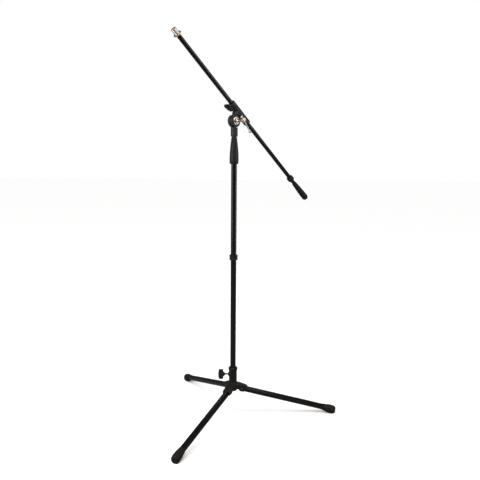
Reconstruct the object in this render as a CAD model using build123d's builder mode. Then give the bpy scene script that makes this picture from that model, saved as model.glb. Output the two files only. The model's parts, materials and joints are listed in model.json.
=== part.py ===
"""Boom microphone stand: folding tripod base, telescopic column and sliding boom arm.

Millimetres, +Z up.  The origin is the point on the floor under the column's axis.
The right leg runs close to +X, and the boom rises towards -X and -Y.
"""

import os
from math import cos, radians, sin

from build123d import *

# ---------------------------------------------------------------- driving dimensions
RUNNING = 0.06          # radial clearance of a part that slides or turns in another
PRESSED = 0.02          # radial clearance of a part that is fixed in another

# Column
COLUMN_R = 9.5          # outer tube, outside
COLUMN_BORE_R = 8.5
COLUMN_FOOT = 92.0
COLUMN_TOP = 916.0
INNER_R = 8.0           # inner tube, outside
INNER_BORE_R = 7.0
INNER_FOOT = 105.0
INNER_TOP = 953.0
RING_R = 14.15          # stop ring half way up the column
RING_FOOT = 547.0
RING_TOP = 564.0

# Base
LEG_TURN = 1.9          # compass turn of the right leg from +X, degrees
LEG_FALL = 14.27        # slope of the legs below the horizontal, degrees
LEG_ROOT = 103.5        # height at which the leg axes meet on the column's axis
LEG_R = 10.0
LEG_BORE_R = 8.8
LEG_START = 41.2        # distances along a leg from the column's axis
LEG_END = 351.0
HINGE_REACH = 31.0
CAP_START = 328.0
CAP_LIP = 3.0
CAP_LIP_R = 11.3
COLLAR_R = 13.75
COLLAR_RIM_R = 15.65
COLLAR_RIM = 9.0        # height of the rim round the collar's top
COLLAR_TOP = 171.5
HUB_FOOT = 88.5
ARM_HALF_WIDTH = 12.6
ARM_ROOF = 16.5         # top of an arm above the leg's axis, near the column
ARM_END_ROOF = 11.9
ARM_FLOOR = -5.5
ARM_SHOULDER = 22.0     # where an arm starts to narrow
ARM_END = 50.0
CLAMP_HEIGHT = 146.7    # wing screw of the base

# Height clutch
GRIP_FOOT = 866.0
GRIP_TOP = 951.6

# Swivel head
PIVOT_HEIGHT = 1004.5
NECK_R = 11.45
NECK_FOOT = 954.5
NECK_TOP = 983.6
CHEEK_R = 20.0          # the two round cheeks that the pivot screw clamps
SWIVEL_BACK = -12.0     # places along the pivot axis, from the column's axis
SWIVEL_FACE = -2.0
HOLDER_BACK = -1.0
HOLDER_FACE = 9.0
SCREW_HEAD = 41.0

# Boom
BOOM_TURN = 226.9       # compass turn of the boom's upper end from +X, degrees
BOOM_RISE = 37.0        # degrees above the horizontal
BOOM_R = 7.0
BOOM_BORE_R = 6.0
BOOM_LIFT = 31.0        # from the pivot axis to the boom's axis
BOOM_SHIFT = 6.0        # from the column's axis to the boom's axis, along the pivot axis
SLEEVE_R = 11.5
SLEEVE_LOW = -47.0      # distances along the boom from the pivot
SLEEVE_HIGH = 50.0
BOOM_CLAMP = 29.5
BOOM_END = 329.0
BOOM_TAIL = -470.0
STOP_LOW = -361.0
STOP_HIGH = -343.0
HANDLE_START = -382.0
HANDLE_END = -480.0
THREAD_R = 7.94         # 5/8 inch microphone thread
THREAD_START = 332.3
THREAD_END = 350.0

# Fasteners
CLAMP_SCREW_R = 2.9     # M6 wing screws
PIVOT_SCREW_R = 4.0     # M8 pivot screw
BAR_R = 2.1
BEAD_R = 4.5

# ------------------------------------------------------------------------- frames
turn = radians(BOOM_TURN)
rise = radians(BOOM_RISE)
along_boom = Vector(cos(turn) * cos(rise), sin(turn) * cos(rise), sin(rise))
above_boom = Vector(-cos(turn) * sin(rise), -sin(turn) * sin(rise), cos(rise))
pivot_axis = above_boom.cross(along_boom)

upright = Plane.XY
# x away from the pivot towards the boom, y along the boom, z along the pivot screw to its head
pivot = Plane(origin=(0, 0, PIVOT_HEIGHT), x_dir=above_boom, z_dir=pivot_axis)
# x away from the pivot, z along the boom to its upper end
boom_foot = Vector(0, 0, PIVOT_HEIGHT) + above_boom * BOOM_LIFT + pivot_axis * BOOM_SHIFT
boom = Plane(origin=boom_foot, x_dir=above_boom, z_dir=along_boom)


def compass(degrees_from_x):
    """A level unit vector."""
    angle = radians(degrees_from_x)
    return Vector(cos(angle), sin(angle), 0)


def leg_frame(degrees_from_x):
    """x square to the leg and up, y level across it, z out along the leg."""
    fall = radians(LEG_FALL)
    outward = compass(degrees_from_x)
    down_leg = outward * cos(fall) - Vector(0, 0, sin(fall))
    over_leg = outward * sin(fall) + Vector(0, 0, cos(fall))
    return Plane(origin=(0, 0, LEG_ROOT), x_dir=over_leg, z_dir=down_leg)


legs = {
    "right": leg_frame(LEG_TURN),
    "rear": leg_frame(LEG_TURN + 120),
    "front": leg_frame(LEG_TURN + 240),
}
base_clamp = Plane(origin=(0, 0, CLAMP_HEIGHT), x_dir=(0, 0, 1), z_dir=compass(LEG_TURN + 180))
boom_clamp = Plane(
    origin=boom_foot + along_boom * BOOM_CLAMP, x_dir=along_boom, z_dir=pivot_axis * -1
)

pieces = {}


# ------------------------------------------------------------------ shared features
def rod(plane, radius, low, high, mode=Mode.ADD):
    """A round bar or hole along the plane's Z axis."""
    with BuildSketch(plane.offset(low)) as disc:
        Circle(radius)
    extrude(disc.sketch, amount=high - low, mode=mode)


def turned(plane, outline, mode=Mode.ADD):
    """A closed outline of (radius, height) points, turned about the plane's Z axis."""
    side = Plane(origin=plane.origin, x_dir=plane.x_dir, z_dir=plane.y_dir * -1)
    with BuildSketch(side) as profile:
        with BuildLine():
            Polyline(*outline, close=True)
        make_face()
    revolve(profile.sketch, axis=Axis(plane.origin, plane.z_dir), mode=mode)


def pipe(plane, outer, inner, low, high):
    """A straight tube, bush or ring along the plane's Z axis."""
    with BuildPart() as piece:
        rod(plane, outer, low, high)
        rod(plane, inner, low, high, mode=Mode.SUBTRACT)
    return piece


# --------------------------------------------------------------------------- column
pieces["column_outer_tube"] = pipe(upright, COLUMN_R, COLUMN_BORE_R, COLUMN_FOOT, COLUMN_TOP)

with BuildPart() as column_end_plug:
    rod(upright, COLUMN_R, COLUMN_FOOT - 3, COLUMN_FOOT)
    fillet(column_end_plug.edges().group_by(Axis.Z)[0], 1.5)
    rod(upright, COLUMN_BORE_R - PRESSED, COLUMN_FOOT, COLUMN_FOOT + 8)
pieces["column_end_plug"] = column_end_plug

with BuildPart() as column_stop_ring:
    rod(upright, RING_R, RING_FOOT, RING_TOP)
    fillet(column_stop_ring.edges(), 1.6)
    rod(upright, COLUMN_R + PRESSED, RING_FOOT, RING_TOP, mode=Mode.SUBTRACT)
pieces["column_stop_ring"] = column_stop_ring

pieces["inner_tube"] = pipe(upright, INNER_R, INNER_BORE_R, INNER_FOOT, INNER_TOP)

# A nylon ring keeps the inner tube's foot central in the outer tube.
with BuildPart() as inner_tube_guide:
    rod(upright, COLUMN_BORE_R - 0.03, INNER_FOOT - 3, INNER_FOOT)
    rod(upright, INNER_BORE_R - PRESSED, INNER_FOOT, INNER_FOOT + 15)
    rod(upright, 4, INNER_FOOT - 3, INNER_FOOT + 15, mode=Mode.SUBTRACT)
pieces["inner_tube_guide"] = inner_tube_guide

STUD_R = 5.0
STUD_TOP = 978.0
with BuildPart() as inner_tube_stud:
    rod(upright, INNER_BORE_R - PRESSED, INNER_TOP - 25, INNER_TOP)
    rod(upright, INNER_R, INNER_TOP, INNER_TOP + 1.2)
    rod(upright, STUD_R, INNER_TOP + 1.2, STUD_TOP)
    chamfer(inner_tube_stud.edges().group_by(Axis.Z)[-1], 0.8)
pieces["inner_tube_stud"] = inner_tube_stud

# ------------------------------------------------------------------- height clutch
SKIRT_R = 12.64
SKIRT_FOOT = GRIP_FOOT + 6
SKIRT_TOP = 905.0
CLUTCH_THREAD_R = 10.6
CLUTCH_TOP = 925.0
INNER_GAP = 0.3         # radial gap round the inner tube where nothing guides it
with BuildPart() as clutch_body:
    rod(upright, SKIRT_R, SKIRT_FOOT, SKIRT_TOP)
    rod(upright, CLUTCH_THREAD_R, SKIRT_TOP, CLUTCH_TOP)
    rod(upright, COLUMN_R + PRESSED, SKIRT_FOOT, COLUMN_TOP, mode=Mode.SUBTRACT)
    rod(upright, INNER_R + INNER_GAP, COLUMN_TOP, CLUTCH_TOP, mode=Mode.SUBTRACT)
pieces["clutch_body"] = clutch_body

# The split collet is squeezed on the inner tube when the grip is turned.
COLLET_FOOT = CLUTCH_TOP + 0.3
COLLET_TOP = 940.0
COLLET_R = 9.7
COLLET_TOP_R = 8.9
COLLET_SPLIT = 1.6
with BuildPart() as clutch_collet:
    turned(
        upright,
        [
            (INNER_R + RUNNING, COLLET_FOOT),
            (COLLET_R, COLLET_FOOT),
            (COLLET_R, COLLET_FOOT + 5),
            (COLLET_TOP_R, COLLET_TOP),
            (INNER_R + RUNNING, COLLET_TOP),
        ],
    )
    with Locations((INNER_R + 1, 0, (COLLET_FOOT + COLLET_TOP) / 2)):
        Box(5, COLLET_SPLIT, COLLET_TOP, mode=Mode.SUBTRACT)
pieces["clutch_collet"] = clutch_collet

GRIP_R = 14.9
GRIP_TOP_R = 9.3
GRIP_GROOVES = 18
GROOVE_LOW = 929.0
GROOVE_HIGH = 947.0
GROOVE_DEPTH = 0.6
grip_skin = [                # radius and height, from the lip at the foot to the top
    (13.6, GRIP_FOOT + 0.6),
    (14.7, GRIP_FOOT + 4),
    (GRIP_R, 877),
    (14.6, 893),
    (13.5, 911),
    (11.5, 931),
    (10.2, 942),
    (GRIP_TOP_R + 0.2, GRIP_TOP - 1.5),
]
with BuildPart() as clutch_grip:
    with BuildSketch(Plane.XZ):
        with BuildLine():
            Polyline((0, GRIP_FOOT), (12.6, GRIP_FOOT), grip_skin[0])
            Spline(*grip_skin, tangents=((0.6, 1), (-0.08, 1)))
            Polyline(grip_skin[-1], (GRIP_TOP_R - 0.4, GRIP_TOP), (0, GRIP_TOP), (0, GRIP_FOOT))
        make_face()
    revolve(axis=Axis.Z)
    rod(upright, COLUMN_R + 0.4, GRIP_FOOT, SKIRT_FOOT, mode=Mode.SUBTRACT)
    rod(upright, SKIRT_R + RUNNING, SKIRT_FOOT - 0.4, SKIRT_TOP + 0.3, mode=Mode.SUBTRACT)
    rod(upright, CLUTCH_THREAD_R + RUNNING, SKIRT_TOP, COLLET_FOOT, mode=Mode.SUBTRACT)
    turned(
        upright,
        [
            (0, COLLET_FOOT - 1),
            (COLLET_R + 0.2, COLLET_FOOT - 1),
            (COLLET_R + 0.2, COLLET_FOOT + 5.2),
            (COLLET_TOP_R + 0.2, COLLET_TOP + 0.3),
            (0, COLLET_TOP + 0.3),
        ],
        mode=Mode.SUBTRACT,
    )
    rod(upright, INNER_R + INNER_GAP, COLLET_TOP, GRIP_TOP, mode=Mode.SUBTRACT)
    # Grooves follow the neck's slope, so that each is as deep at its top as at its foot.
    for number in range(GRIP_GROOVES):
        across = compass(360 / GRIP_GROOVES * number)
        groove_plane = Plane(origin=(0, 0, 0), x_dir=across, z_dir=across.cross(Vector(0, 0, 1)))
        with BuildSketch(groove_plane) as groove:
            with BuildLine():
                Polyline(
                    (11.7 - GROOVE_DEPTH, GROOVE_LOW + 1),
                    (12.4, GROOVE_LOW),
                    (12.4, GROOVE_HIGH),
                    (9.8 - GROOVE_DEPTH, GROOVE_HIGH),
                    close=True,
                )
            make_face()
        extrude(groove.sketch, amount=0.5, both=True, mode=Mode.SUBTRACT)
pieces["clutch_grip"] = clutch_grip

# ------------------------------------------------------------------------ base hub
FOLD_GAP = 0.3          # round the leg's root in its arm
PIN_R = 2.5
BUSH_R = 11.0
BUSH_FOOT = 100.0
BUSH_TOP = 165.0
BOSS_TIP = 17.2         # cone round the base's wing screw, from the column's axis
barrel = [                   # radius and height
    (0, HUB_FOOT),
    (12.5, HUB_FOOT),
    (15.5, HUB_FOOT + 2.5),
    (17.0, HUB_FOOT + 11),
    (16.5, HUB_FOOT + 20),
    (COLLAR_R, HUB_FOOT + 27),
    (COLLAR_R, COLLAR_TOP - COLLAR_RIM - 1),
    (COLLAR_RIM_R, COLLAR_TOP - COLLAR_RIM + 0.6),
    (COLLAR_RIM_R, COLLAR_TOP - 1.5),
    (COLLAR_RIM_R - 1.4, COLLAR_TOP),
    (0, COLLAR_TOP),
]


def arm_section(leg, reach, roof, half_width, corner):
    """The rounded outline of an arm at a place along its leg."""
    with BuildSketch(leg.offset(reach)) as section:
        with Locations(((roof + ARM_FLOOR) / 2, 0)):
            RectangleRounded(roof - ARM_FLOOR, 2 * half_width, corner)
    return section.sketch


with BuildPart() as base_hub:
    turned(upright, barrel)
    for leg in legs.values():
        extrude(arm_section(leg, 0, ARM_ROOF, ARM_HALF_WIDTH, 6), amount=ARM_SHOULDER)
        shoulder = arm_section(leg, ARM_SHOULDER, ARM_ROOF, ARM_HALF_WIDTH, 6)
        end = arm_section(leg, ARM_END, ARM_END_ROOF, ARM_HALF_WIDTH, 4)
        loft([shoulder, end])
    for leg in legs.values():
        slot_root = leg.origin + leg.z_dir * (HINGE_REACH - LEG_R - FOLD_GAP - 0.1)
        with BuildSketch(Plane(origin=slot_root, x_dir=leg.z_dir, z_dir=leg.y_dir)) as slot_side:
            with BuildLine():
                Polyline(
                    (0, -2 * LEG_R),
                    (0, 4),
                    (6, LEG_R + FOLD_GAP),
                    (ARM_END, LEG_R + FOLD_GAP),
                    (ARM_END, -2 * LEG_R),
                    close=True,
                )
            make_face()
        extrude(slot_side.sketch, amount=LEG_R + FOLD_GAP, both=True, mode=Mode.SUBTRACT)
        pin_line = Plane(origin=leg.origin + leg.z_dir * HINGE_REACH, z_dir=leg.y_dir)
        pin_reach = ARM_HALF_WIDTH + 5
        rod(pin_line, PIN_R + PRESSED, -pin_reach, pin_reach, mode=Mode.SUBTRACT)
    turned(
        base_clamp,
        [(0, 10), (10.5, 10), (9.6, COLLAR_R - 0.6), (3.9, BOSS_TIP), (0, BOSS_TIP)],
    )
    rod(base_clamp, CLAMP_SCREW_R + RUNNING, 0, BOSS_TIP + 1, mode=Mode.SUBTRACT)
    rod(upright, COLUMN_R + 0.3, HUB_FOOT, COLLAR_TOP, mode=Mode.SUBTRACT)
    rod(upright, BUSH_R + PRESSED, BUSH_FOOT, BUSH_TOP, mode=Mode.SUBTRACT)
pieces["base_hub"] = base_hub

SHOE_R = 4.4
with BuildPart() as collar_bush:
    rod(upright, BUSH_R, BUSH_FOOT + 0.1, BUSH_TOP - 0.1)
    rod(upright, COLUMN_R + RUNNING, BUSH_FOOT, BUSH_TOP, mode=Mode.SUBTRACT)
    rod(base_clamp, SHOE_R + 0.2, 0, COLLAR_R, mode=Mode.SUBTRACT)
pieces["collar_bush"] = collar_bush

with BuildPart() as base_clamp_shoe:
    rod(base_clamp, SHOE_R, 0, BUSH_R)
    rod(upright, BUSH_R, CLAMP_HEIGHT - 10, CLAMP_HEIGHT + 10, mode=Mode.INTERSECT)
    rod(upright, COLUMN_R + RUNNING, CLAMP_HEIGHT - 10, CLAMP_HEIGHT + 10, mode=Mode.SUBTRACT)
pieces["base_clamp_shoe"] = base_clamp_shoe


# --------------------------------------------------------------------- wing screws
WING_WIDTH = 17.2
WING_HALF_SPAN = 17.0
WING_HALF_THICK = 4.0


def wing_knob(plane, start, neck, lean=0.0):
    """A flat moulded wing on a round neck; its span lies along the plane's X, leant in degrees."""
    lean_x = plane.x_dir * cos(radians(lean)) + plane.y_dir * sin(radians(lean))
    level = Plane(origin=plane.origin, x_dir=lean_x, z_dir=plane.z_dir)
    flat = Plane(origin=level.origin, x_dir=level.x_dir, z_dir=level.y_dir * -1)
    root = start + neck
    tip = root + WING_WIDTH
    with BuildPart() as knob:
        with BuildSketch(flat) as blade:
            with BuildLine():
                Line((-WING_HALF_SPAN, tip - 2), (-WING_HALF_SPAN, root))
                Line((-WING_HALF_SPAN, root), (-8.5, root))
                Line((-8.5, root), (-3.6, start + 0.8))
                Line((-3.6, start + 0.8), (3.6, start + 0.8))
                Line((3.6, start + 0.8), (8.5, root))
                Line((8.5, root), (WING_HALF_SPAN, root))
                Line((WING_HALF_SPAN, root), (WING_HALF_SPAN, tip - 2))
                ThreePointArc((WING_HALF_SPAN, tip - 2), (0, tip), (-WING_HALF_SPAN, tip - 2))
            make_face()
            fillet(blade.vertices().group_by(SortBy.DISTANCE)[-1], 2.5)
        extrude(blade.sketch, amount=WING_HALF_THICK, both=True)
        fillet(knob.edges().filter_by(GeomType.CIRCLE), 1.0)
        turned(level, [(0, start), (4.2, start), (5.6, root), (4.5, root + 9), (0, root + 9)])
        rod(level, CLAMP_SCREW_R + PRESSED, start - 1, root + 5, mode=Mode.SUBTRACT)
    return knob


def clamp_screw(plane, tip, root):
    """A machine screw from its blunt tip to the place inside the knob where it ends."""
    with BuildPart() as screw:
        rod(plane, CLAMP_SCREW_R, tip, root + 4.9)
        chamfer(screw.edges(), 0.5)
    return screw


BASE_KNOB_START = 27.0
BASE_KNOB_NECK = 6.5
pieces["base_wing_knob"] = wing_knob(base_clamp, BASE_KNOB_START, BASE_KNOB_NECK)
pieces["base_clamp_screw"] = clamp_screw(
    base_clamp, BUSH_R + 0.05, BASE_KNOB_START + BASE_KNOB_NECK
)

# ---------------------------------------------------------------------------- legs
cap_sections = [             # place along the leg, half width, top and bottom from the leg's axis
    (CAP_START + CAP_LIP, 11.1, 11.1, 11.1),
    (338, 11.9, 12.0, 13.5),
    (345, 12.6, 12.9, 15.6),
    (353, 13.1, 13.4, 17.2),
    (360, 13.2, 13.2, 17.6),
    (366, 12.6, 12.2, 16.8),
    (370, 11.0, 10.3, 14.5),
    (371.5, 8.5, 7.8, 11.2),
]
for side, leg in legs.items():
    pieces[f"leg_tube_{side}"] = pipe(leg, LEG_R, LEG_BORE_R, LEG_START, LEG_END)

    # The knuckle is a cast plug with a round eye, pressed in the tube.
    cheek = Plane(origin=leg.origin, x_dir=leg.z_dir, z_dir=leg.y_dir)
    pin_line = Plane(origin=leg.origin + leg.z_dir * HINGE_REACH, z_dir=leg.y_dir)
    with BuildPart() as knuckle:
        rod(pin_line, LEG_R, -LEG_R, LEG_R)
        with BuildSketch(leg.offset(HINGE_REACH)) as block:
            RectangleRounded(2 * LEG_R, 2 * LEG_R, 3)
        extrude(block.sketch, amount=LEG_START - HINGE_REACH)
        rod(leg, LEG_BORE_R - PRESSED, LEG_START, LEG_START + 20)
        rod(pin_line, PIN_R + RUNNING, -LEG_R, LEG_R, mode=Mode.SUBTRACT)
    pieces[f"leg_knuckle_{side}"] = knuckle

    with BuildPart() as pin:
        rod(pin_line, PIN_R, -ARM_HALF_WIDTH, ARM_HALF_WIDTH)
        rod(pin_line, PIN_R + 1.5, -ARM_HALF_WIDTH - 1.2, -ARM_HALF_WIDTH)
        rod(pin_line, PIN_R + 1.5, ARM_HALF_WIDTH, ARM_HALF_WIDTH + 1.2)
    pieces[f"leg_pin_{side}"] = pin

    # Rubber foot: a lip round the tube, then a heel that bulges down to a flat sole.
    with BuildPart() as foot:
        rod(leg, CAP_LIP_R, CAP_START, CAP_START + CAP_LIP)
        sections = []
        for reach, half_width, top, bottom in cap_sections:
            with BuildSketch(leg.offset(reach)) as section:
                with Locations(((top - bottom) / 2, 0)):
                    Ellipse((top + bottom) / 2, half_width)
            sections.append(section.sketch)
        loft(sections)
        rod(leg, LEG_R + PRESSED, CAP_START, LEG_END + 0.2, mode=Mode.SUBTRACT)
        split(bisect_by=Plane.XY, keep=Keep.TOP)
    pieces[f"foot_cap_{side}"] = foot

# --------------------------------------------------------------------- swivel head
NUT_BACK = -15.5
POCKET_FLOOR = -9.0
NUT_R = 7.5
with BuildPart() as swivel_base:
    rod(upright, NECK_R, NECK_FOOT, PIVOT_HEIGHT - 6)
    with BuildSketch(pivot.offset(SWIVEL_FACE)) as clearance:
        Rectangle(80, 80)
    extrude(clearance.sketch, amount=40, mode=Mode.SUBTRACT)
    rod(upright, NECK_R, NECK_FOOT, NECK_TOP)
    chamfer(swivel_base.edges().group_by(Axis.Z)[0], 0.8)
    rod(pivot, CHEEK_R, SWIVEL_BACK, SWIVEL_FACE)
    rim = swivel_base.edges().filter_by(GeomType.CIRCLE).sort_by(Axis(pivot.origin, pivot.z_dir))[0]
    fillet(rim, 2.0)
    rod(upright, STUD_R + RUNNING, NECK_FOOT, STUD_TOP + 0.5, mode=Mode.SUBTRACT)
    rod(pivot, PIVOT_SCREW_R + 0.1, SWIVEL_BACK, SWIVEL_FACE, mode=Mode.SUBTRACT)
    with BuildSketch(pivot.offset(POCKET_FLOOR)) as pocket:
        RegularPolygon(NUT_R + 0.1, 6)
    extrude(pocket.sketch, amount=SWIVEL_BACK - POCKET_FLOOR, mode=Mode.SUBTRACT)
pieces["swivel_base"] = swivel_base

with BuildPart() as pivot_nut:
    with BuildSketch(pivot.offset(NUT_BACK)) as hexagon:
        RegularPolygon(NUT_R, 6)
    extrude(hexagon.sketch, amount=POCKET_FLOOR - 0.1 - NUT_BACK)
    rod(pivot, PIVOT_SCREW_R + RUNNING, NUT_BACK, POCKET_FLOOR, mode=Mode.SUBTRACT)
pieces["pivot_nut"] = pivot_nut

pieces["friction_washer"] = pipe(
    pivot, CHEEK_R - 1, PIVOT_SCREW_R + 0.2, SWIVEL_FACE + 0.05, HOLDER_BACK - 0.05
)

# ---------------------------------------------------------------------- boom holder
WEB_LOW = -17.0
WEB_HIGH = 20.0
WEB_BACK = -5.0
LINER_R = 9.0
BOOM_BOSS_TIP = 12.5    # boss round the boom's wing screw, from the boom's axis
NECK_CLEARANCE_R = 23.5
with BuildPart() as boom_holder:
    rod(pivot, CHEEK_R, HOLDER_BACK, HOLDER_FACE)
    with BuildSketch(pivot.offset(HOLDER_BACK)) as web:
        with Locations((BOOM_LIFT / 2, (WEB_LOW + WEB_HIGH) / 2)):
            Rectangle(BOOM_LIFT, WEB_HIGH - WEB_LOW)
    extrude(web.sketch, amount=HOLDER_FACE - HOLDER_BACK)
    with BuildSketch(pivot.offset(WEB_BACK)) as root:
        with Locations((BOOM_LIFT / 2, (WEB_LOW + WEB_HIGH) / 2)):
            Rectangle(BOOM_LIFT, WEB_HIGH - WEB_LOW)
        Circle(CHEEK_R + 0.6, mode=Mode.SUBTRACT)
    extrude(root.sketch, amount=HOLDER_FACE + 5 - WEB_BACK)
    # The back of the web clears the neck when the boom hangs straight down.
    rod(pivot, NECK_CLEARANCE_R, WEB_BACK, HOLDER_BACK, mode=Mode.SUBTRACT)
    rod(boom, SLEEVE_R, SLEEVE_LOW, SLEEVE_HIGH)
    ends = boom_holder.edges().filter_by(GeomType.CIRCLE).sort_by(Axis(boom.origin, boom.z_dir))
    fillet([ends[0], ends[-1]], 1.2)
    turned(boom_clamp, [(0, 5), (8.0, 5), (8.0, 9.6), (6.0, BOOM_BOSS_TIP), (0, BOOM_BOSS_TIP)])
    rod(boom_clamp, CLAMP_SCREW_R + RUNNING, 0, BOOM_BOSS_TIP + 1, mode=Mode.SUBTRACT)
    rod(boom, LINER_R + PRESSED, SLEEVE_LOW + 1, SLEEVE_HIGH - 1, mode=Mode.SUBTRACT)
    rod(boom, BOOM_R + 0.3, SLEEVE_LOW, SLEEVE_HIGH, mode=Mode.SUBTRACT)
    rod(pivot, PIVOT_SCREW_R + RUNNING, HOLDER_BACK, HOLDER_FACE, mode=Mode.SUBTRACT)
pieces["boom_holder"] = boom_holder

with BuildPart() as boom_liner:
    rod(boom, LINER_R, SLEEVE_LOW + 1.1, SLEEVE_HIGH - 1.1)
    rod(boom, BOOM_R + RUNNING, SLEEVE_LOW, SLEEVE_HIGH, mode=Mode.SUBTRACT)
    rod(boom_clamp, SHOE_R + 0.2, 0, LINER_R + 1, mode=Mode.SUBTRACT)
pieces["boom_liner"] = boom_liner

with BuildPart() as boom_clamp_shoe:
    rod(boom_clamp, SHOE_R, 0, LINER_R)
    rod(boom, LINER_R, BOOM_CLAMP - 10, BOOM_CLAMP + 10, mode=Mode.INTERSECT)
    rod(boom, BOOM_R + RUNNING, BOOM_CLAMP - 10, BOOM_CLAMP + 10, mode=Mode.SUBTRACT)
pieces["boom_clamp_shoe"] = boom_clamp_shoe

BOOM_KNOB_START = 12.9
BOOM_KNOB_NECK = 5.2
BOOM_KNOB_LEAN = -12.0
pieces["boom_wing_knob"] = wing_knob(
    boom_clamp, BOOM_KNOB_START, BOOM_KNOB_NECK, BOOM_KNOB_LEAN
)
pieces["boom_clamp_screw"] = clamp_screw(
    boom_clamp, LINER_R + 0.05, BOOM_KNOB_START + BOOM_KNOB_NECK
)

# ---------------------------------------------------------------------- pivot screw
WASHER_R = 13.3
WASHER_FRONT = HOLDER_FACE + 1.8
with BuildPart() as pivot_washer:
    rod(pivot, WASHER_R, HOLDER_FACE, WASHER_FRONT)
    chamfer(pivot_washer.edges().sort_by(Axis(pivot.origin, pivot.z_dir))[-1], 0.6)
    rod(pivot, PIVOT_SCREW_R + 0.1, HOLDER_FACE, WASHER_FRONT, mode=Mode.SUBTRACT)
pieces["pivot_washer"] = pivot_washer

BAR_LEAN = 47.5         # slope of the tommy bar below the horizontal, degrees
BAR_HIGH = 12.3         # bead centres, from the pivot axis
BAR_LOW = 46.7
HEAD_R = 7.5
down_bar = compass(BOOM_TURN) * -cos(radians(BAR_LEAN)) - Vector(0, 0, sin(radians(BAR_LEAN)))
bar = Plane(origin=pivot.origin + pivot_axis * SCREW_HEAD, x_dir=pivot_axis, z_dir=down_bar)

with BuildPart() as pivot_screw:
    turned(
        pivot,
        [
            (0, NUT_BACK - 1.5),
            (PIVOT_SCREW_R - 0.7, NUT_BACK - 1.5),
            (PIVOT_SCREW_R, NUT_BACK - 0.8),
            (PIVOT_SCREW_R, WASHER_FRONT + 0.2),
            (6.6, WASHER_FRONT + 0.2),
            (6.6, WASHER_FRONT + 3.2),
            (4.8, WASHER_FRONT + 4.6),
            (4.4, SCREW_HEAD - 9),
            (HEAD_R, SCREW_HEAD - 6),
            (HEAD_R, SCREW_HEAD + 4.5),
            (HEAD_R - 1.2, SCREW_HEAD + 6),
            (HEAD_R - 4, SCREW_HEAD + 6.8),
            (0, SCREW_HEAD + 7),
        ],
    )
    rod(bar, BAR_R + RUNNING, -HEAD_R - 2, HEAD_R + 2, mode=Mode.SUBTRACT)
pieces["pivot_screw"] = pivot_screw

with BuildPart() as tommy_bar:
    rod(bar, BAR_R, -BAR_HIGH - 2, BAR_LOW + 2)
pieces["tommy_bar"] = tommy_bar

with BuildPart() as tommy_bar_beads:
    for place in (-BAR_HIGH, BAR_LOW):
        with Locations(bar.offset(place)):
            Sphere(BEAD_R)
    rod(bar, BAR_R + PRESSED, -BAR_HIGH - 2.1, BAR_LOW + 2.1, mode=Mode.SUBTRACT)
pieces["tommy_bar_beads"] = tommy_bar_beads

# ---------------------------------------------------------------------------- boom
pieces["boom_tube"] = pipe(boom, BOOM_R, BOOM_BORE_R, BOOM_TAIL, BOOM_END)

with BuildPart() as boom_stop_ring:
    rod(boom, 12, STOP_LOW, STOP_HIGH)
    fillet(boom_stop_ring.edges(), 3)
    rod(boom, BOOM_R + PRESSED, STOP_LOW, STOP_HIGH, mode=Mode.SUBTRACT)
pieces["boom_stop_ring"] = boom_stop_ring

handle_side = Plane(origin=boom.origin, x_dir=boom.x_dir, z_dir=boom.y_dir * -1)
with BuildPart() as boom_handle:
    with BuildSketch(handle_side) as outline:
        with BuildLine():
            Line((0, HANDLE_START), (8.0, HANDLE_START))
            Line((8.0, HANDLE_START), (8.6, HANDLE_START - 1))
            Spline(
                (8.6, HANDLE_START - 1),
                (9.9, HANDLE_START - 28),
                (11.2, HANDLE_START - 60),
                (11.5, HANDLE_END + 12),
                tangents=((0.04, -1), (0, -1)),
            )
            Spline(
                (11.5, HANDLE_END + 12),
                (9.6, HANDLE_END + 3.2),
                (5, HANDLE_END),
                (0, HANDLE_END),
                tangents=((0, -1), (-1, 0)),
            )
            Line((0, HANDLE_END), (0, HANDLE_START))
        make_face()
    revolve(outline.sketch, axis=Axis(boom.origin, boom.z_dir))
    rod(boom, BOOM_R + PRESSED, BOOM_TAIL - 0.2, HANDLE_START, mode=Mode.SUBTRACT)
pieces["boom_handle"] = boom_handle

# ------------------------------------------------------------------- thread adapter
THREAD_STUD_R = 4.76    # 3/8 inch stud under the adapter
with BuildPart() as boom_end_stud:
    rod(boom, BOOM_BORE_R - PRESSED, BOOM_END - 20, BOOM_END)
    rod(boom, THREAD_STUD_R, BOOM_END, THREAD_END - 4)
pieces["boom_end_stud"] = boom_end_stud

LOCK_RING_R = 12.6
with BuildPart() as lock_ring:
    rod(boom, LOCK_RING_R, BOOM_END + 0.2, THREAD_START - 0.2)
    chamfer(lock_ring.edges(), 0.5)
    rod(boom, THREAD_STUD_R + RUNNING, BOOM_END, THREAD_START, mode=Mode.SUBTRACT)
pieces["lock_ring"] = lock_ring

THREAD_CHAMFER = 0.8
with BuildPart() as thread_adapter:
    rod(boom, THREAD_R, THREAD_START, THREAD_END)
    chamfer(thread_adapter.edges().sort_by(Axis(boom.origin, boom.z_dir))[-1], THREAD_CHAMFER)
    rod(boom, THREAD_STUD_R + RUNNING, THREAD_START, THREAD_END, mode=Mode.SUBTRACT)
    with BuildSketch(boom.offset(THREAD_END - 2.4)) as driver_slot:
        Rectangle(2 * THREAD_R + 1, 2.2)
    extrude(driver_slot.sketch, amount=3, mode=Mode.SUBTRACT)
pieces["thread_adapter"] = thread_adapter

# --------------------------------------------------------------------------- files
os.makedirs("parts", exist_ok=True)
for name, piece in pieces.items():
    piece.part.label = name
    export_step(piece.part, f"parts/{name}.step")
    print(f"{name}: {len(piece.part.solids())} solid(s), {piece.part.volume / 1000:.2f} cm3")
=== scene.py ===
"""Looks of a boom microphone stand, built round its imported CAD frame. Metres, +Z up."""
import json
import math

import bpy
from mathutils import Matrix, Vector


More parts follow.
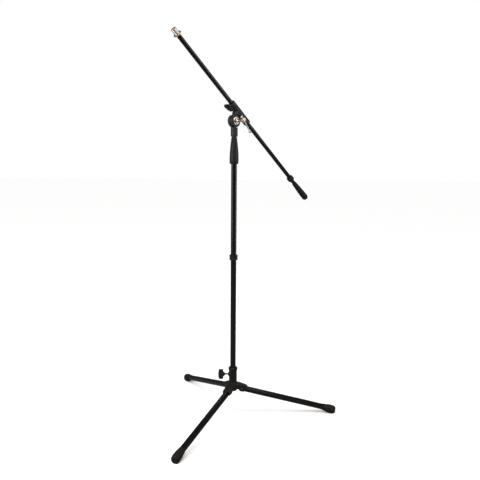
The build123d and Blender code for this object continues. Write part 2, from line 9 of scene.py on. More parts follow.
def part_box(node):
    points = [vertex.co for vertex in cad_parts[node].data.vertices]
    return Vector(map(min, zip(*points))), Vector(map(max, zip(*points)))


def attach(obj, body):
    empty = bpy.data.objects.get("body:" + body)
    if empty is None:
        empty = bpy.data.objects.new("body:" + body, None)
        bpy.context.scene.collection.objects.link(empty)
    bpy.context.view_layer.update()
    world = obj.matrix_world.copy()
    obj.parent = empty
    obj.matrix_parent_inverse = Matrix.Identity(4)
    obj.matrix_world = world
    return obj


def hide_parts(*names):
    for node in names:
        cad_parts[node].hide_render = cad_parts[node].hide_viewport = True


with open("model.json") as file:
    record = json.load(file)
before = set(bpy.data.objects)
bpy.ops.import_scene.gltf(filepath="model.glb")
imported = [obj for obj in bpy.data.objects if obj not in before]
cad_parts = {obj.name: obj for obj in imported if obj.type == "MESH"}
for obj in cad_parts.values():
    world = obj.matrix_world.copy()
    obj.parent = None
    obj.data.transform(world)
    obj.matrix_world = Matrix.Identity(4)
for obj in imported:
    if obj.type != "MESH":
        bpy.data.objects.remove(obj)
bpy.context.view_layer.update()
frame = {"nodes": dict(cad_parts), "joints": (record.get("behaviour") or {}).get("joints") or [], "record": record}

MM = 0.001
joints = {joint["name"]: joint for joint in frame["joints"]}
slot_of = {part["node"]: part["material_slot"] for part in frame["record"]["subparts"]}
LEGS = ("right", "rear", "front")


# ---------------------------------------------------------------- places and measures
class Place:
    """An axis to turn shapes about: an origin, the axis, and a side direction square to it."""

    def __init__(self, origin, axis, side=(0, 0, 1)):
        self.origin = Vector(origin)
        self.axis = Vector(axis).normalized()
        side = Vector(side)
        self.side = (side - self.axis * side.dot(self.axis)).normalized()
        self.third = self.axis.cross(self.side)

    def at(self, radius, angle, height):
        """The point at this radius, angle and height about the axis."""
        outward = self.side * math.cos(angle) + self.third * math.sin(angle)
        return self.origin + self.axis * height + outward * radius

    def height(self, point):
        return (point - self.origin).dot(self.axis)

    def radius(self, point):
        away = point - self.origin
        return (away - self.axis * away.dot(self.axis)).length


def points_of(node):
    return [vertex.co for vertex in frame["nodes"][node].data.vertices]


def reach(node, place):
    """(low end, high end, inner radius, outer radius) of a CAD node about an axis."""
    heights = [place.height(point) for point in points_of(node)]
    radii = [place.radius(point) for point in points_of(node)]
    return min(heights), max(heights), min(radii), max(radii)


def middle(node):
    low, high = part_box(node)
    return (low + high) / 2


column = Place((0, 0, 0), (0, 0, 1), (1, 0, 0))
pivot = Place(joints["pivot_screw_turn"]["pos_m"], joints["pivot_screw_turn"]["axis"])
boom_line = Vector(joints["boom_slide"]["axis"])
clamp_point = Vector(joints["boom_screw_turn"]["pos_m"])
boom_foot = clamp_point - boom_line * (clamp_point - pivot.origin).dot(boom_line)
boom = Place(boom_foot, boom_line, boom_foot - pivot.origin)
base_screw = Place(joints["base_screw_turn"]["pos_m"], joints["base_screw_turn"]["axis"])
boom_screw = Place(clamp_point, joints["boom_screw_turn"]["axis"], boom_line)
bar = Place(middle("tommy_bar"), joints["tommy_bar_slide"]["axis"], pivot.axis)
leg_place = {}
for leg in LEGS:
    hinge = Vector(joints[f"leg_{leg}_fold"]["pos_m"])
    leg_place[leg] = Place(hinge, middle(f"leg_tube_{leg}") - hinge)


# ----------------------------------------------------------------------- mesh building
def new_object(name, vertices, faces):
    mesh = bpy.data.meshes.new(name)
    mesh.from_pydata(vertices, [], faces)
    mesh.validate()
    mesh.update()
    for polygon in mesh.polygons:
        polygon.use_smooth = True
    piece = bpy.data.objects.new(name, mesh)
    bpy.context.scene.collection.objects.link(piece)
    return piece


def rounded(outline, size, steps=4):
    """The outline with each corner, but not its ends on the axis, replaced by a small curve."""
    count = len(outline)
    closed = outline[0][0] > 0 or outline[-1][0] > 0
    result = []
    for index, point in enumerate(outline):
        if not closed and index in (0, count - 1):
            result.append(point)
            continue
        here = Vector(point)
        before = Vector(outline[index - 1])
        after = Vector(outline[(index + 1) % count])
        cut = min(size, (before - here).length * 0.45, (after - here).length * 0.45)
        start = here + (before - here).normalized() * cut
        end = here + (after - here).normalized() * cut
        for step in range(steps + 1):
            share = step / steps
            first = start.lerp(here, share)
            second = here.lerp(end, share)
            result.append(tuple(first.lerp(second, share)))
    return result


def divided(outline, longest):
    """The outline with extra points, so that no run is longer than this."""
    closed = outline[0][0] > 0 or outline[-1][0] > 0
    last = len(outline) if closed else len(outline) - 1
    result = []
    for index in range(last):
        start = Vector(outline[index])
        end = Vector(outline[(index + 1) % len(outline)])
        parts = max(1, math.ceil((end - start).length / longest))
        result += [tuple(start.lerp(end, part / parts)) for part in range(parts)]
    if not closed:
        result.append(outline[-1])
    return result


def lathe(name, place, outline, around=96, relief=None):
    """Turns an outline of (radius, height) about a place's axis.

    An outline that starts and ends on the axis is closed there; any other joins up as a ring.
    relief(radius, angle, height) gives a new radius, for ribs, knurls and threads.
    """
    closed = outline[0][0] > 0 or outline[-1][0] > 0
    vertices = []
    rows = []
    for radius, height in outline:
        if radius <= 0:
            rows.append([len(vertices)] * around)
            vertices.append(place.at(0, 0, height))
            continue
        rows.append(list(range(len(vertices), len(vertices) + around)))
        for step in range(around):
            angle = 2 * math.pi * step / around
            here = relief(radius, angle, height) if relief else radius
            vertices.append(place.at(here, angle, height))
    faces = []
    pairs = list(zip(rows, rows[1:])) + ([(rows[-1], rows[0])] if closed else [])
    for lower, upper in pairs:
        for step in range(around):
            following = (step + 1) % around
            corners = (lower[step], lower[following], upper[following], upper[step])
            face = tuple(dict.fromkeys(corners))
            if len(face) > 2:
                faces.append(face)
    return new_object(name, vertices, faces)


def ring_outline(inner, outer, low, high):
    return [(inner, low), (outer, low), (outer, high), (inner, high)]


def solid_outline(radius, low, high):
    return [(0, low), (radius, low), (radius, high), (0, high)]


def apply_modifiers(piece):
    """Bakes the piece's modifiers into its mesh."""
    bpy.context.view_layer.update()
    evaluated = piece.evaluated_get(bpy.context.evaluated_depsgraph_get())
    mesh = bpy.data.meshes.new_from_object(evaluated)
    piece.modifiers.clear()
    piece.data = mesh
    for polygon in mesh.polygons:
        polygon.use_smooth = True
    return piece


def casting(name, node, voxel, softening):
    """A cast or moulded body of the CAD node's shape, with every edge softened as a mould leaves it."""
    piece = bpy.data.objects.new(name, frame["nodes"][node].data.copy())
    bpy.context.scene.collection.objects.link(piece)
    remesh = piece.modifiers.new("remesh", "REMESH")
    remesh.mode = "VOXEL"
    remesh.voxel_size = voxel
    smooth = piece.modifiers.new("smooth", "SMOOTH")
    smooth.factor = 0.5
    smooth.iterations = softening
    return apply_modifiers(piece)


def cut(piece, tool):
    """Takes the tool's volume out of the piece."""
    boolean = piece.modifiers.new("cut", "BOOLEAN")
    boolean.operation = "DIFFERENCE"
    boolean.solver = "EXACT"
    boolean.object = tool
    apply_modifiers(piece)
    bpy.data.objects.remove(tool)
    return piece


def thread(pitch, depth, low, high):
    """Relief of a right-hand screw thread between two heights, fading in over one turn."""

    def relief(radius, angle, height):
        if not low <= height <= high:
            return radius
        turn = (height / pitch - angle / (2 * math.pi)) % 1
        valley = 1 - abs(2 * turn - 1)
        fade = min(1, (height - low) / pitch, (high - height) / pitch)
        return radius - depth * valley * fade

    return relief


def knurl(count, depth, low, high):
    """Relief of straight ridges round a rim between two heights."""

    def relief(radius, angle, height):
        if not low <= height <= high:
            return radius
        return radius - depth * (0.5 - 0.5 * math.cos(count * angle))

    return relief


# --------------------------------------------------------------------------- materials
class Shader:
    """A Principled material with short calls for the procedural nodes that feed it."""

    def __init__(self, name, roughness=0.5, metallic=0.0, specular=0.5, coat=0.0, coat_roughness=0.2):
        self.material = bpy.data.materials.new(name)
        self.material.use_nodes = True
        self.tree = self.material.node_tree
        self.bsdf = self.tree.nodes["Principled BSDF"]
        self.bsdf.inputs["Roughness"].default_value = roughness
        self.bsdf.inputs["Metallic"].default_value = metallic
        self.bsdf.inputs["Specular IOR Level"].default_value = specular
        self.bsdf.inputs["Coat Weight"].default_value = coat
        self.bsdf.inputs["Coat Roughness"].default_value = coat_roughness
        self.place = self.add("ShaderNodeTexCoord").outputs["Object"]

    def add(self, kind, **values):
        node = self.tree.nodes.new(kind)
        for name, value in values.items():
            setattr(node, name, value)
        return node

    def link(self, source, target):
        self.tree.links.new(source, target)

    def stretched(self, scale):
        """Object coordinates scaled unevenly, for marks that run one way."""
        mapping = self.add("ShaderNodeMapping")
        mapping.inputs["Scale"].default_value = scale
        self.link(self.place, mapping.inputs["Vector"])
        return mapping.outputs["Vector"]

    def noise(self, scale, detail=3.0, rough=0.55, place=None):
        node = self.add("ShaderNodeTexNoise")
        node.inputs["Scale"].default_value = scale
        node.inputs["Detail"].default_value = detail
        node.inputs["Roughness"].default_value = rough
        self.link(place or self.place, node.inputs["Vector"])
        return node.outputs["Fac"]

    def cells(self, scale):
        node = self.add("ShaderNodeTexVoronoi")
        node.inputs["Scale"].default_value = scale
        self.link(self.place, node.inputs["Vector"])
        return node.outputs["Distance"]

    def ranged(self, source, low, high, low_to, high_to):
        node = self.add("ShaderNodeMapRange")
        sockets = ("From Min", "From Max", "To Min", "To Max")
        for socket, value in zip(sockets, (low, high, low_to, high_to)):
            node.inputs[socket].default_value = value
        self.link(source, node.inputs["Value"])
        return node.outputs["Result"]

    def ramp(self, source, *stops):
        """Colours along a value: (position, colour) pairs."""
        node = self.add("ShaderNodeValToRGB")
        stones = node.color_ramp.elements
        while len(stones) < len(stops):
            stones.new(0.5)
        for stone, (position, colour) in zip(stones, stops):
            stone.position = position
            stone.color = (*colour, 1)
        self.link(source, node.inputs["Fac"])
        return node.outputs["Color"]

    def mixed(self, share, first, second):
        node = self.add("ShaderNodeMix", data_type="RGBA")
        self.link(share, node.inputs["Factor"])
        for source, socket in ((first, node.inputs[6]), (second, node.inputs[7])):
            if isinstance(source, tuple):
                socket.default_value = (*source, 1)
            else:
                self.link(source, socket)
        return node.outputs[2]

    def times(self, first, second):
        node = self.add("ShaderNodeMath", operation="MULTIPLY")
        self.link(first, node.inputs[0])
        self.link(second, node.inputs[1])
        return node.outputs["Value"]

    def edges(self, low=0.53, high=0.62):
        """High on worn outer edges, from the surface's own curvature."""
        geometry = self.add("ShaderNodeNewGeometry")
        return self.ranged(geometry.outputs["Pointiness"], low, high, 0, 1)

    def colour(self, source):
        self.link(source, self.bsdf.inputs["Base Color"])

    def rough(self, source):
        self.link(source, self.bsdf.inputs["Roughness"])

    def bump(self, *layers):
        """Layers of (height, strength, depth in millimetres), finest last."""
        normal = None
        for height, strength, depth in layers:
            node = self.add("ShaderNodeBump")
            node.inputs["Strength"].default_value = strength
            node.inputs["Distance"].default_value = depth * MM
            self.link(height, node.inputs["Height"])
            if normal:
                self.link(normal, node.inputs["Normal"])
            normal = node.outputs["Normal"]
        self.link(normal, self.bsdf.inputs["Normal"])


def steel_tube():
    """Black powder coat on drawn tube: fine orange peel, faint handling marks along it."""
    look = Shader("steel_tube", specular=0.2)
    cloud = look.noise(14)
    look.colour(look.ramp(cloud, (0.3, (0.003, 0.0027, 0.0025)), (0.7, (0.0055, 0.0048, 0.0045))))
    marks = look.noise(900, 4, 0.6, look.stretched((1, 1, 0.05)))
    look.rough(look.ranged(marks, 0.3, 0.75, 0.1, 0.2))
    look.bump((look.noise(1400, 2), 0.1, 0.03), (marks, 0.06, 0.02))
    return look.material


def base_casting():
    """Satin enamel on die-cast metal: pebbled, with the paint thinned along the edges."""
    look = Shader("base_casting", specular=0.12, coat=0.05, coat_roughness=0.3)
    body = look.ramp(look.noise(60), (0.3, (0.005, 0.0047, 0.0046)), (0.7, (0.01, 0.0093, 0.0089)))
    worn = look.times(look.edges(0.53, 0.6), look.ranged(look.noise(260, 5, 0.7), 0.5, 0.72, 0, 0.7))
    look.colour(look.mixed(worn, body, (0.12, 0.115, 0.11)))
    look.rough(look.ranged(look.noise(420, 3), 0.3, 0.7, 0.34, 0.52))
    look.bump((look.cells(700), 0.2, 0.06), (look.noise(1800, 2), 0.3, 0.04))
    return look.material


def head_casting():
    """Satin enamel on the head's castings, a little greyer and finer than the base."""
    look = Shader("head_casting", specular=0.18, coat=0.05, coat_roughness=0.3)
    body = look.ramp(look.noise(70), (0.3, (0.016, 0.0158, 0.0162)), (0.7, (0.027, 0.0265, 0.027)))
    worn = look.times(look.edges(0.53, 0.6), look.ranged(look.noise(300, 5, 0.7), 0.5, 0.72, 0, 0.7))
    look.colour(look.mixed(worn, body, (0.16, 0.155, 0.15)))
    look.rough(look.ranged(look.noise(500, 3), 0.3, 0.7, 0.36, 0.52))
    look.bump((look.cells(900), 0.15, 0.05), (look.noise(2200, 2), 0.3, 0.03))
    return look.material


def black_plastic():
    """Moulded plastic with a fine spark-eroded grain."""
    look = Shader("black_plastic", specular=0.13)
    dark, light = (0.3, (0.0075, 0.0075, 0.0078)), (0.7, (0.014, 0.0136, 0.0135))
    look.colour(look.ramp(look.noise(90), dark, light))
    look.rough(look.ranged(look.noise(650, 3), 0.3, 0.7, 0.38, 0.56))
    look.bump((look.noise(2600, 2), 0.4, 0.05), (look.cells(3800), 0.2, 0.03))
    return look.material


def clutch_plastic():
    """Satin moulded plastic of the height grip, polished where hands turn it."""
    look = Shader("clutch_plastic", specular=0.17)
    dark, light = (0.3, (0.0085, 0.0087, 0.0088)), (0.7, (0.0145, 0.0145, 0.0146))
    look.colour(look.ramp(look.noise(80), dark, light))
    look.rough(look.ranged(look.noise(120, 4), 0.3, 0.7, 0.34, 0.5))
    look.bump((look.noise(2200, 2), 0.35, 0.04), (look.cells(3000), 0.15, 0.03))
    return look.material


def rubber():
    """Black rubber of the feet: dull, scuffed and dusty in the grain."""
    look = Shader("rubber", specular=0.12)
    body = look.ramp(look.noise(120, 4), (0.3, (0.0045, 0.0043, 0.0043)), (0.7, (0.009, 0.0086, 0.0082)))
    scuffs = look.ranged(look.noise(340, 6, 0.75), 0.6, 0.74, 0, 0.5)
    look.colour(look.mixed(scuffs, body, (0.024, 0.022, 0.02)))
    look.rough(look.ranged(look.noise(300, 4), 0.3, 0.7, 0.5, 0.72))
    look.bump((look.noise(900, 4), 0.3, 0.08), (look.noise(3000, 2), 0.35, 0.03))
    return look.material


def grip_rubber():
    """Dark grey matte rubber of the boom's handle."""
    look = Shader("grip_rubber", specular=0.13)
    dark, light = (0.3, (0.0085, 0.0085, 0.009)), (0.7, (0.015, 0.0146, 0.015))
    look.colour(look.ramp(look.noise(100, 4), dark, light))
    look.rough(look.ranged(look.noise(260, 4), 0.3, 0.7, 0.52, 0.7))
    look.bump((look.noise(1500, 3), 0.3, 0.06), (look.cells(3600), 0.25, 0.03))
    return look.material


def nylon():
    """Milky natural nylon."""
    look = Shader("nylon", specular=0.5)
    look.colour(look.ramp(look.noise(150), (0.3, (0.62, 0.6, 0.54)), (0.7, (0.74, 0.72, 0.66))))
    look.rough(look.ranged(look.noise(600), 0.3, 0.7, 0.35, 0.5))
    look.bump((look.noise(1600, 2), 0.2, 0.03),)
    return look.material


def nickel():
    """Bright nickel plate with a warm cast, polishing marks and dull spots."""
    look = Shader("nickel", metallic=1.0)
    look.colour(look.ramp(look.noise(240, 4), (0.3, (0.46, 0.4, 0.36)), (0.7, (0.6, 0.53, 0.48))))
    marks = look.noise(700, 4, 0.6, look.stretched((1, 1, 0.15)))
    look.rough(look.ranged(marks, 0.3, 0.75, 0.24, 0.4))
    look.bump((marks, 0.08, 0.02), (look.noise(2600, 2), 0.06, 0.01))
    return look.material


def zinc_steel():
    """Zinc-plated steel of the screws and pins: duller and greyer, with a faint brushed grain."""
    look = Shader("zinc_steel", metallic=1.0)
    look.colour(look.ramp(look.noise(300, 5, 0.65), (0.3, (0.3, 0.29, 0.28)), (0.7, (0.48, 0.46, 0.43))))
    grain = look.noise(1100, 3, 0.6, look.stretched((1, 0.2, 1)))
    look.rough(look.ranged(grain, 0.3, 0.7, 0.28, 0.46))
    look.bump((grain, 0.15, 0.02),)
    return look.material


def blackened_steel():
    """Steel with a black oxide finish, a little browner where it has rubbed."""
    look = Shader("blackened_steel", specular=0.4)
    dark, light = (0.3, (0.01, 0.0095, 0.009)), (0.7, (0.022, 0.02, 0.018))
    look.colour(look.ramp(look.noise(320, 5, 0.65), dark, light))
    grain = look.noise(1100, 3)
    look.rough(look.ranged(grain, 0.3, 0.7, 0.32, 0.5))
    look.bump((grain, 0.15, 0.02),)
    return look.material


def fibre():
    """Pressed brown fibre of the friction washer."""
    look = Shader("fibre", specular=0.3)
    dark, light = (0.3, (0.05, 0.025, 0.014)), (0.7, (0.12, 0.062, 0.035))
    look.colour(look.ramp(look.noise(900, 5, 0.7), dark, light))
    look.rough(look.ranged(look.noise(700), 0.3, 0.7, 0.65, 0.85))
    look.bump((look.noise(2400, 4), 0.5, 0.06),)
    return look.material


materials = {
    make.__name__: make()
    for make in (
        steel_tube, base_casting, head_casting, black_plastic, clutch_plastic, rubber,
        grip_rubber, nylon, nickel, zinc_steel, blackened_steel, fibre,
    )
}


def finished(piece, body, *nodes):
    """Gives a piece its material, the body it rides on and the CAD nodes it stands for."""
    slot = slot_of[nodes[0]]
    piece.data.materials.clear()
    piece.data.materials.append(materials[slot])
    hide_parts(*nodes)
    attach(piece, body)
    return piece


for node, part in frame["nodes"].items():
    part.data.materials.clear()
    part.data.materials.append(materials[slot_of[node]])


# ------------------------------------------------------------------------------ tubes
def drawn_tube(name, node, body, place, around=96):
    """A tube with softly broken ends."""
    low, high, inner, outer = reach(node, place)
    outline = divided(rounded(ring_outline(inner, outer, low, high), 0.3 * MM), 20 * MM)
    return finished(lathe(name, place, outline, around), body, node)


drawn_tube("column_tube", "column_outer_tube", "column", column)
drawn_tube("mast_tube", "inner_tube", "mast", column)
drawn_tube("boom_arm", "boom_tube", "boom", boom)
for leg in LEGS:
    drawn_tube(f"leg_{leg}", f"leg_tube_{leg}", f"leg_{leg}", leg_place[leg])


# -------------------------------------------------------------------- column and clutch
def column_ring():
    """The stop ring: a moulded band with a shallow waist between two lips."""
    low, high, inner, outer = reach("column_stop_ring", column)
    lip = 3.2 * MM
    waist = outer - 0.5 * MM
    outline = [
        (inner, low), (outer, low), (outer, low + lip), (waist, low + lip + 0.6 * MM),
        (waist, high - lip - 0.6 * MM), (outer, high - lip), (outer, high), (inner, high),
    ]
    return finished(lathe("stop_ring", column, rounded(outline, 1.0 * MM)), "column", "column_stop_ring")


def clutch_sleeve():
    """The height grip: a swelling sleeve that tapers to a ribbed neck."""
    low, high, _, outer = reach("clutch_grip", column)
    length = high - low
    rib_count = 18
    rib_depth = 0.8 * MM
    ribs_low = low + length * 0.73
    ribs_high = high - 4.2 * MM
    skin_share = 0.6        # anything nearer the axis than this is the bore, which has no ribs
    # share of the length, and share of the greatest radius
    shape = [
        (0.0, 0.844), (0.008, 0.915), (0.047, 0.985), (0.1285, 1.0), (0.22, 0.995), (0.315, 0.978),
        (0.42, 0.946), (0.526, 0.904), (0.64, 0.842), (0.759, 0.770), (0.888, 0.683), (0.982, 0.636),
        (1.0, 0.596),
    ]
    skin = [(outer * radius, low + length * share) for share, radius in shape]
    bore = reach("inner_tube", column)[3] + 0.3 * MM
    lower_bore = reach("column_outer_tube", column)[3] + 0.4 * MM
    inside = [
        (bore, high), (bore, high - 24 * MM), (outer * 0.72, high - 32 * MM), (outer * 0.84, low + 40 * MM),
        (outer * 0.84, low + 6 * MM), (lower_bore, low + 5 * MM), (lower_bore, low),
    ]
    outline = divided(rounded(skin + inside, 1.0 * MM, 3), 1.0 * MM)

    def ribs(radius, angle, height):
        if radius < outer * skin_share or not ribs_low <= height <= ribs_high:
            return radius
        fade = min(1, (height - ribs_low) / (2 * MM), (ribs_high - height) / (1.5 * MM))
        groove = max(0, math.cos(rib_count * angle) - 0.25) / 0.75
        return radius - rib_depth * fade * groove ** 0.6

    return finished(lathe("height_grip", column, outline, 240, ribs), "clutch", "clutch_grip")


column_ring()
clutch_sleeve()


# ------------------------------------------------------------------------------- base
finished(casting("hub_casting", "base_hub", 0.5 * MM, 6), "hub", "base_hub")


def rivet(leg):
    """A hinge pin with a domed head at each end."""
    node = f"leg_pin_{leg}"
    pin = Place(middle(node), joints[f"leg_{leg}_fold"]["axis"])
    low, high, _, head = reach(node, pin)
    shank = head - 1.5 * MM
    crown = 0.6 * MM
    outline = [(0, low), (head * 0.55, low + 0.1 * MM), (head, low + crown), (head, low + 2 * crown)]
    outline += [(shank, low + 2 * crown), (shank, high - 2 * crown)]
    outline += [(head, high - 2 * crown), (head, high - crown), (head * 0.55, high - 0.1 * MM), (0, high)]
    return finished(lathe(f"hinge_pin_{leg}", pin, rounded(outline, 0.35 * MM), 48), "hub", node)


def foot(leg):
    """A moulded rubber foot with fine tread grooves round its heel, flat on the floor."""
    node = f"foot_cap_{leg}"
    place = leg_place[leg]
    high = reach(node, place)[1]
    grooves = [high - below * MM for below in (6.0, 10.0, 14.0)]
    half_width = 0.8 * MM
    depth = 0.4 * MM
    mouth = 11 * MM         # the bore and the lip round the tube lie within this, and stay plain
    piece = casting(f"foot_{leg}", node, 0.5 * MM, 4)
    for vertex in piece.data.vertices:
        height = place.height(vertex.co)
        if place.radius(vertex.co) > mouth:
            away = min(abs(groove - height) for groove in grooves) / half_width
            inward = place.origin + place.axis * height - vertex.co
            vertex.co += inward.normalized() * (depth * max(0, 1 - away * away))
        vertex.co.z = max(vertex.co.z, 0)
    return finished(piece, f"leg_{leg}", node)


for leg in LEGS:
    rivet(leg)
    foot(leg)
    knuckle = casting(f"knuckle_{leg}", f"leg_knuckle_{leg}", 0.5 * MM, 3)
    finished(knuckle, f"leg_{leg}", f"leg_knuckle_{leg}")


# ------------------------------------------------------------------------- wing screws
def wing_screw(name, place, body, knob, screw):
    finished(casting(f"{name}_wing", knob, 0.35 * MM, 6), body, knob)
    low, high, _, radius = reach(screw, place)
    outline = divided(rounded(solid_outline(radius, low, high), 0.5 * MM), 0.2 * MM)
    coarse = thread(1.0 * MM, 0.55 * MM, low, high)
    threaded = lathe(f"{name}_thread", place, outline, 48, coarse)
    finished(threaded, body, screw)


wing_screw("base", base_screw, "base_knob", "base_wing_knob", "base_clamp_screw")
wing_screw("boom", boom_screw, "boom_knob", "boom_wing_knob", "boom_clamp_screw")


# ------------------------------------------------------------------------------- head
finished(casting("swivel_casting", "swivel_base", 0.5 * MM, 5), "swivel", "swivel_base")
finished(casting("holder_casting", "boom_holder", 0.5 * MM, 5), "holder", "boom_holder")
finished(casting("pivot_hex_nut", "pivot_nut", 0.3 * MM, 3), "swivel", "pivot_nut")


def plated_washer():
    """A cupped, plated washer: a rolled rim round a sunk middle."""
    low, high, inner, outer = reach("pivot_washer", pivot)
    thick = high - low
    outline = [
        (inner, low), (outer, low), (outer, low + 0.35 * thick), (outer - 0.8 * MM, low + 0.8 * thick),
        (outer - 2.2 * MM, high), (9.0 * MM, high - 0.05 * thick), (8.2 * MM, low + 0.5 * thick),
        (inner, low + 0.4 * thick),
    ]
    return finished(lathe("dished_washer", pivot, rounded(outline, 0.5 * MM), 96), "holder", "pivot_washer")


def tee_screw():
    """The pivot screw: thread, shoulder against the washer, waisted shank and a drilled, domed head."""
    low, high, _, head = reach("pivot_screw", pivot)
    washer = reach("pivot_washer", pivot)[1]
    shank = 4.0 * MM
    centre = pivot.height(bar.origin)
    outline = [
        (0, low), (shank - 0.7 * MM, low), (shank, low + 0.7 * MM), (shank, washer + 0.2 * MM),
        (6.6 * MM, washer + 0.2 * MM), (6.6 * MM, washer + 3.2 * MM), (4.9 * MM, washer + 4.6 * MM),
        (4.3 * MM, washer + 8 * MM), (4.4 * MM, centre - 10 * MM), (head - 1.4 * MM, centre - 7.2 * MM),
        (head, centre - 5.6 * MM), (head, centre + 4 * MM), (head - 1.3 * MM, centre + 5.8 * MM),
        (head - 4 * MM, high - 0.25 * MM), (0, high),
    ]
    outline = divided(rounded(outline, 0.6 * MM), 0.4 * MM)
    screw = lathe("tee_screw", pivot, outline, 72, thread(1.25 * MM, 0.6 * MM, low, -1 * MM))
    hole = reach("tommy_bar", bar)[3] + 0.06 * MM
    drill = lathe("drill", bar_hole, solid_outline(hole, -head * 2, head * 2), 48)
    return finished(cut(screw, drill), "pivot_knob", "pivot_screw")


def sliding_bar():
    """The tommy bar, and a bead swaged on each end with a small collar inside it."""
    low, high, _, radius = reach("tommy_bar", bar)
    outline = rounded(solid_outline(radius, low, high), 0.6 * MM)
    finished(lathe("cross_bar", bar, outline, 48), "bar", "tommy_bar")
    ends_low, ends_high, _, bead = reach("tommy_bar_beads", bar)
    beads = []
    for end, inward in ((ends_low, 1), (ends_high, -1)):
        centre = end + inward * bead
        outline = [(0, end)]
        for step in range(1, 16):
            angle = math.pi * step / 18
            outline.append((bead * math.sin(angle), centre - inward * bead * math.cos(angle)))
        neck = centre + inward * bead
        outline += [(radius + 0.7 * MM, neck - inward * 0.2 * MM), (radius + 0.7 * MM, neck), (0, neck)]
        beads.append(lathe("bead", bar, outline, 64))
    with bpy.context.temp_override(
        active_object=beads[0], selected_editable_objects=beads, object=beads[0]
    ):
        bpy.ops.object.join()
    beads[0].name = "bar_beads"
    return finished(beads[0], "bar", "tommy_bar_beads")


head_centre = reach("pivot_screw", pivot)[1] - 7 * MM
bar_hole = Place(pivot.origin + pivot.axis * head_centre, bar.axis, pivot.axis)
plated_washer()
tee_screw()
sliding_bar()


# ------------------------------------------------------------------------------- boom
def boom_ring():
    """The boom's stop ring: a fat moulded ring with a groove."""
    low, high, inner, outer = reach("boom_stop_ring", boom)
    centre = (low + high) / 2
    outline = [
        (inner, low), (outer - 2.2 * MM, low), (outer, low + 2.6 * MM), (outer, centre - 1.3 * MM),
        (outer - 0.7 * MM, centre - 0.7 * MM), (outer - 0.7 * MM, centre + 0.7 * MM),
        (outer, centre + 1.3 * MM), (outer, high - 2.6 * MM), (outer - 2.2 * MM, high), (inner, high),
    ]
    return finished(lathe("tail_ring", boom, rounded(outline, 0.9 * MM)), "boom", "boom_stop_ring")


def boom_grip():
    """The rubber handle: it swells towards a rounded end, with fine rings by the mouth."""
    low, high, _, outer = reach("boom_handle", boom)
    tube = reach("boom_tube", boom)
    length = high - low
    skin = [(0, low)]
    for step in range(1, 9):
        angle = math.pi / 2 * step / 8
        skin.append((outer * math.sin(angle) ** 0.72, low + 12 * MM * (1 - math.cos(angle))))
    skin += [
        (outer * 0.995, low + 0.22 * length), (outer * 0.96, low + 0.42 * length),
        (outer * 0.89, low + 0.62 * length), (outer * 0.81, low + 0.82 * length),
        (outer * 0.75, high - 1 * MM), (outer * 0.70, high), (tube[3], high),
    ]
    skin += [(tube[3], tube[0] - 0.1 * MM), (0, tube[0] - 0.1 * MM)]

    def rings(radius, angle, height):
        if radius < outer * 0.72 or height < high - 14 * MM:
            return radius
        wave = math.sin(math.pi * (high - height) / (2.4 * MM)) ** 2
        return radius - 0.3 * MM * wave

    outline = divided(skin, 0.6 * MM)
    return finished(lathe("handle", boom, outline, 96, rings), "boom", "boom_handle")


def tip():
    """Knurled lock ring, and a threaded adapter with a driver slot in its end."""
    low, high, inner, outer = reach("lock_ring", boom)
    outline = divided(rounded(ring_outline(inner, outer, low, high), 0.5 * MM), 0.4 * MM)
    ridges = knurl(48, 0.45 * MM, low + 0.4 * MM, high - 0.4 * MM)
    ring = lathe("knurled_ring", boom, outline, 288, ridges)
    finished(ring, "lock_ring", "lock_ring")
    low, high, inner, outer = reach("thread_adapter", boom)
    outline = ring_outline(inner, outer, low, high)
    outline[2:3] = [(outer, high - 1 * MM), (outer - 0.9 * MM, high)]
    outline = divided(rounded(outline, 0.2 * MM, 2), 0.12 * MM)
    fine = outer_only(thread(0.94 * MM, 0.5 * MM, low, high - 1.2 * MM), outer)
    adapter = lathe("microphone_thread", boom, outline, 120, fine)
    half_width = 1.1 * MM
    half_length = outer * 1.2
    slot = Place(boom.at(0, 0, high), boom.axis, boom.side)
    corners = [
        slot.origin + slot.axis * height + slot.side * across + slot.third * along
        for height in (-2.4 * MM, 1 * MM)
        for across in (-half_width, half_width)
        for along in (-half_length, half_length)
    ]
    faces = [(0, 1, 3, 2), (4, 6, 7, 5), (0, 4, 5, 1), (2, 3, 7, 6), (0, 2, 6, 4), (1, 5, 7, 3)]
    finished(cut(adapter, new_object("saw", corners, faces)), "adapter", "thread_adapter")


def outer_only(relief, outer):
    """The relief, kept off the bore."""
    return lambda radius, angle, height: relief(radius, angle, height) if radius > outer * 0.9 else radius


boom_ring()
boom_grip()
tip()


# -------------------------------------------------------------------------- the studio
def studio_floor():
    """A pale floor that runs to the horizon, where it meets the white room."""
    half = 60.0
    cells = 12
    steps = [half * (2 * step / cells - 1) for step in range(cells + 1)]
    vertices = [(x, y, 0) for y in steps for x in steps]
    faces = []
    for row in range(cells):
        for column_index in range(cells):
            corner = row * (cells + 1) + column_index
            faces.append((corner, corner + 1, corner + cells + 2, corner + cells + 1))
    floor = new_object("studio_floor", vertices, faces)
    look = Shader("studio_paper", roughness=0.9, specular=0.05)
    look.colour(look.ramp(look.noise(3), (0.3, (0.94, 0.94, 0.94)), (0.7, (0.95, 0.95, 0.95))))
    look.bump((look.noise(300, 2), 0.05, 0.1),)
    dim_to_reflections(look)
    floor.data.materials.append(look.material)


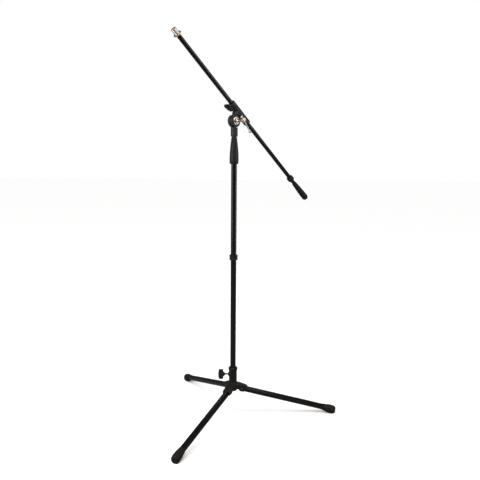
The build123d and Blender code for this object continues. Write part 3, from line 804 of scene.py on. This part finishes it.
def dim_to_reflections(look):
    """Shows the surface as it is to the camera, but as dark studio walls to everything it lights."""
    seen = look.add("ShaderNodeLightPath").outputs["Is Camera Ray"]
    dark = look.add("ShaderNodeBsdfDiffuse")
    dark.inputs["Color"].default_value = (0.27, 0.26, 0.25, 1)
    mix = look.add("ShaderNodeMixShader")
    look.link(seen, mix.inputs["Fac"])
    look.link(dark.outputs["BSDF"], mix.inputs[1])
    look.link(look.bsdf.outputs["BSDF"], mix.inputs[2])
    look.link(mix.outputs["Shader"], look.tree.nodes["Material Output"].inputs["Surface"])


def softbox(name, place, target, size, power, colour=(1, 1, 1)):
    lamp = bpy.data.lights.new(name, "AREA")
    lamp.shape = "RECTANGLE"
    lamp.size, lamp.size_y = size
    lamp.energy = power
    lamp.color = colour
    holder = bpy.data.objects.new(name, lamp)
    holder.location = place
    holder.rotation_euler = (Vector(target) - Vector(place)).to_track_quat("-Z", "Y").to_euler()
    bpy.context.scene.collection.objects.link(holder)


def overhead(strength, spread, tilt):
    """Even, very soft light from above and before, which whitens the floor and leaves faint shadows."""
    lamp = bpy.data.lights.new("overhead", "SUN")
    lamp.energy = strength
    lamp.angle = math.radians(spread)
    holder = bpy.data.objects.new("overhead", lamp)
    holder.location = (0, 0, 4)
    holder.rotation_euler = [math.radians(angle) for angle in tilt]
    bpy.context.scene.collection.objects.link(holder)


def camera():
    """The viewpoint: a little below the clutch's height, looking slightly down."""
    eye = (0, -1.73207, 0.83816)
    pitch, pan, roll = 0.128592, 0.012306, 0.0070367
    forward = Vector((math.sin(pan) * math.cos(pitch), math.cos(pan) * math.cos(pitch), -math.sin(pitch)))
    level = forward.cross(Vector((0, 0, 1))).normalized()
    upward = level.cross(forward)
    right = level * math.cos(roll) + upward * math.sin(roll)
    top = upward * math.cos(roll) - level * math.sin(roll)
    data = bpy.data.cameras.new("camera")
    data.sensor_width = 36.0
    data.lens = 39.11
    holder = bpy.data.objects.new("camera", data)
    turn = Matrix((right, top, -forward)).transposed().to_4x4()
    holder.matrix_world = Matrix.Translation(eye) @ turn
    bpy.context.scene.collection.objects.link(holder)
    bpy.context.scene.camera = holder


def sky():
    """White to the camera and a dim room to the object."""
    world = bpy.data.worlds.new("studio")
    bpy.context.scene.world = world
    world.use_nodes = True
    nodes = world.node_tree.nodes
    links = world.node_tree.links
    room = nodes["Background"]
    room.inputs["Color"].default_value = (1.0, 0.98, 0.96, 1)
    room.inputs["Strength"].default_value = 0.16
    white = nodes.new("ShaderNodeBackground")
    white.inputs["Color"].default_value = (1.0, 1.0, 1.0, 1)
    seen = nodes.new("ShaderNodeLightPath")
    mix = nodes.new("ShaderNodeMixShader")
    links.new(seen.outputs["Is Camera Ray"], mix.inputs["Fac"])
    links.new(room.outputs["Background"], mix.inputs[1])
    links.new(white.outputs["Background"], mix.inputs[2])
    links.new(mix.outputs["Shader"], nodes["World Output"].inputs["Surface"])


studio_floor()
sky()
overhead(3.45, 66, (33, -10, 0))
softbox("key", (-2.2, -1.2, 1.3), (0, 0, 0.65), (0.4, 2.2), 42, (1.0, 0.97, 0.96))
softbox("fill", (2.35, -0.45, 1.2), (0, 0, 0.65), (0.35, 2.2), 30, (1.0, 0.9, 0.83))
softbox("back", (0.6, 1.9, 3.0), (0, 0, 0.3), (1.8, 0.8), 16, (1.0, 0.95, 0.92))
camera()
bpy.context.scene.view_settings.view_transform = "Standard"
